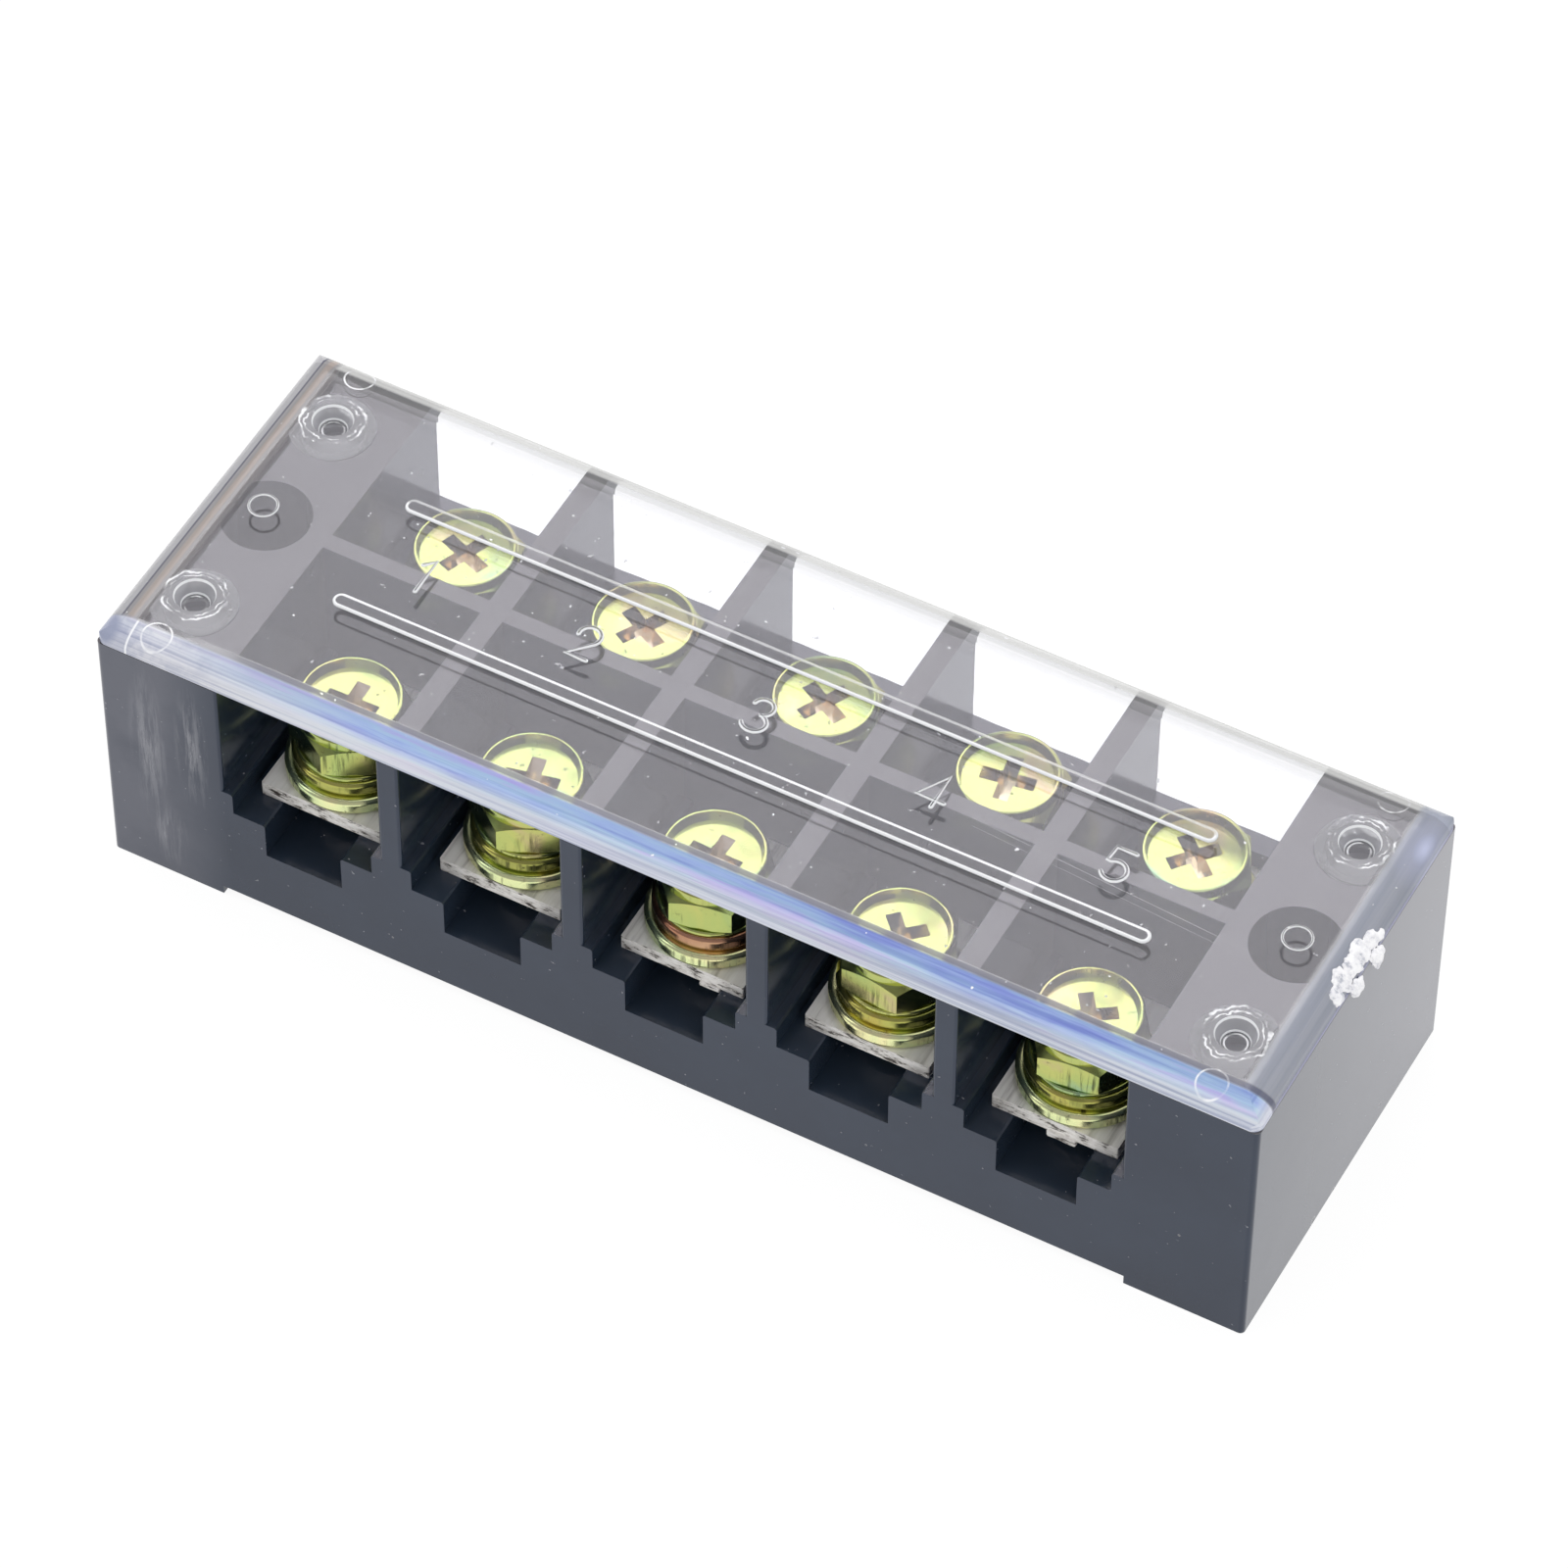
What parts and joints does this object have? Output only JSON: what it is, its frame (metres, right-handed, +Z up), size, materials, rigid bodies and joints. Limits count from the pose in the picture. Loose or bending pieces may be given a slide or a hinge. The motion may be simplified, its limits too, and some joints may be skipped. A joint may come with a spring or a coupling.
{
  "type": "barrier terminal strip",
  "caption": "Barrier terminal strip: black moulded housing with open wire cells, plated screw clamps on slide-in plates, and a clear push-on cover.",
  "frame": {"origin": "middle of the footprint, on the mounting plane under the end feet", "axes": "+X along the strip, -Y towards the open stepped wiring front, +Z up out of the cover"},
  "size_m": [0.136, 0.046, 0.0363],
  "materials": {
    "housing_plastic": "glossy black moulding",
    "cover_plastic": "clear glossy moulding",
    "terminal_metal": "nickel plated, sheared edges",
    "screw_metal": "yellow passivated zinc plate",
    "spring_metal": "yellow passivated zinc plate, darker",
    "washer_metal": "yellow passivated zinc plate"
  },
  "bodies": {
    "housing": {"base_housing": "housing_plastic", "terminal_plate_1": "terminal_metal", "terminal_plate_2": "terminal_metal", "terminal_plate_3": "terminal_metal", "terminal_plate_4": "terminal_metal", "terminal_plate_5": "terminal_metal"},
    "cover": {"clear_cover": "cover_plastic"},
    "front_washers_1": {"front_flat_washer_1": "washer_metal", "front_spring_washer_1": "spring_metal"},
    "front_bolt_1": {"front_screw_1": "screw_metal"},
    "front_washers_2": {"front_flat_washer_2": "washer_metal", "front_spring_washer_2": "spring_metal"},
    "front_bolt_2": {"front_screw_2": "screw_metal"},
    "front_washers_3": {"front_flat_washer_3": "washer_metal", "front_spring_washer_3": "spring_metal"},
    "front_bolt_3": {"front_screw_3": "screw_metal"},
    "front_washers_4": {"front_flat_washer_4": "washer_metal", "front_spring_washer_4": "spring_metal"},
    "front_bolt_4": {"front_screw_4": "screw_metal"},
    "front_washers_5": {"front_flat_washer_5": "washer_metal", "front_spring_washer_5": "spring_metal"},
    "front_bolt_5": {"front_screw_5": "screw_metal"},
    "rear_washers_1": {"rear_flat_washer_1": "washer_metal", "rear_spring_washer_1": "spring_metal"},
    "rear_bolt_1": {"rear_screw_1": "screw_metal"},
    "rear_washers_2": {"rear_flat_washer_2": "washer_metal", "rear_spring_washer_2": "spring_metal"},
    "rear_bolt_2": {"rear_screw_2": "screw_metal"},
    "rear_washers_3": {"rear_flat_washer_3": "washer_metal", "rear_spring_washer_3": "spring_metal"},
    "rear_bolt_3": {"rear_screw_3": "screw_metal"},
    "rear_washers_4": {"rear_flat_washer_4": "washer_metal", "rear_spring_washer_4": "spring_metal"},
    "rear_bolt_4": {"rear_screw_4": "screw_metal"},
    "rear_washers_5": {"rear_flat_washer_5": "washer_metal", "rear_spring_washer_5": "spring_metal"},
    "rear_bolt_5": {"rear_screw_5": "screw_metal"}
  },
  "joints": [
    {"name": "cover_lift", "type": "slide", "parent": "housing", "child": "cover", "axis": [0, 0, 1], "range_m": [0, 0.012]},
    {"name": "front_rise_1", "type": "slide", "parent": "housing", "child": "front_washers_1", "axis": [0, 0, 1], "range_m": [0, 0.004]},
    {"name": "front_turn_1", "type": "hinge", "parent": "front_washers_1", "child": "front_bolt_1", "pos_m": [-0.0437, -0.012, 0.0202], "axis": [0, 0, 1], "range_deg": [0, 1440]},
    {"name": "front_rise_2", "type": "slide", "parent": "housing", "child": "front_washers_2", "axis": [0, 0, 1], "range_m": [0, 0.004]},
    {"name": "front_turn_2", "type": "hinge", "parent": "front_washers_2", "child": "front_bolt_2", "pos_m": [-0.02185, -0.012, 0.0202], "axis": [0, 0, 1], "range_deg": [0, 1440]},
    {"name": "front_rise_3", "type": "slide", "parent": "housing", "child": "front_washers_3", "axis": [0, 0, 1], "range_m": [0, 0.004]},
    {"name": "front_turn_3", "type": "hinge", "parent": "front_washers_3", "child": "front_bolt_3", "pos_m": [0, -0.012, 0.0202], "axis": [0, 0, 1], "range_deg": [0, 1440]},
    {"name": "front_rise_4", "type": "slide", "parent": "housing", "child": "front_washers_4", "axis": [0, 0, 1], "range_m": [0, 0.004]},
    {"name": "front_turn_4", "type": "hinge", "parent": "front_washers_4", "child": "front_bolt_4", "pos_m": [0.02185, -0.012, 0.0202], "axis": [0, 0, 1], "range_deg": [0, 1440]},
    {"name": "front_rise_5", "type": "slide", "parent": "housing", "child": "front_washers_5", "axis": [0, 0, 1], "range_m": [0, 0.004]},
    {"name": "front_turn_5", "type": "hinge", "parent": "front_washers_5", "child": "front_bolt_5", "pos_m": [0.0437, -0.012, 0.0202], "axis": [0, 0, 1], "range_deg": [0, 1440]},
    {"name": "rear_rise_1", "type": "slide", "parent": "housing", "child": "rear_washers_1", "axis": [0, 0, 1], "range_m": [0, 0.004]},
    {"name": "rear_turn_1", "type": "hinge", "parent": "rear_washers_1", "child": "rear_bolt_1", "pos_m": [-0.0437, 0.012, 0.0202], "axis": [0, 0, 1], "range_deg": [0, 1440]},
    {"name": "rear_rise_2", "type": "slide", "parent": "housing", "child": "rear_washers_2", "axis": [0, 0, 1], "range_m": [0, 0.004]},
    {"name": "rear_turn_2", "type": "hinge", "parent": "rear_washers_2", "child": "rear_bolt_2", "pos_m": [-0.02185, 0.012, 0.0202], "axis": [0, 0, 1], "range_deg": [0, 1440]},
    {"name": "rear_rise_3", "type": "slide", "parent": "housing", "child": "rear_washers_3", "axis": [0, 0, 1], "range_m": [0, 0.004]},
    {"name": "rear_turn_3", "type": "hinge", "parent": "rear_washers_3", "child": "rear_bolt_3", "pos_m": [0, 0.012, 0.0202], "axis": [0, 0, 1], "range_deg": [0, 1440]},
    {"name": "rear_rise_4", "type": "slide", "parent": "housing", "child": "rear_washers_4", "axis": [0, 0, 1], "range_m": [0, 0.004]},
    {"name": "rear_turn_4", "type": "hinge", "parent": "rear_washers_4", "child": "rear_bolt_4", "pos_m": [0.02185, 0.012, 0.0202], "axis": [0, 0, 1], "range_deg": [0, 1440]},
    {"name": "rear_rise_5", "type": "slide", "parent": "housing", "child": "rear_washers_5", "axis": [0, 0, 1], "range_m": [0, 0.004]},
    {"name": "rear_turn_5", "type": "hinge", "parent": "rear_washers_5", "child": "rear_bolt_5", "pos_m": [0.0437, 0.012, 0.0202], "axis": [0, 0, 1], "range_deg": [0, 1440]}
  ],
  "couplings": [
    {"joint": "front_rise_1", "follows": "front_turn_1", "m_per_rad": 0.00015915},
    {"joint": "front_rise_2", "follows": "front_turn_2", "m_per_rad": 0.00015915},
    {"joint": "front_rise_3", "follows": "front_turn_3", "m_per_rad": 0.00015915},
    {"joint": "front_rise_4", "follows": "front_turn_4", "m_per_rad": 0.00015915},
    {"joint": "front_rise_5", "follows": "front_turn_5", "m_per_rad": 0.00015915},
    {"joint": "rear_rise_1", "follows": "rear_turn_1", "m_per_rad": 0.00015915},
    {"joint": "rear_rise_2", "follows": "rear_turn_2", "m_per_rad": 0.00015915},
    {"joint": "rear_rise_3", "follows": "rear_turn_3", "m_per_rad": 0.00015915},
    {"joint": "rear_rise_4", "follows": "rear_turn_4", "m_per_rad": 0.00015915},
    {"joint": "rear_rise_5", "follows": "rear_turn_5", "m_per_rad": 0.00015915}
  ]
}
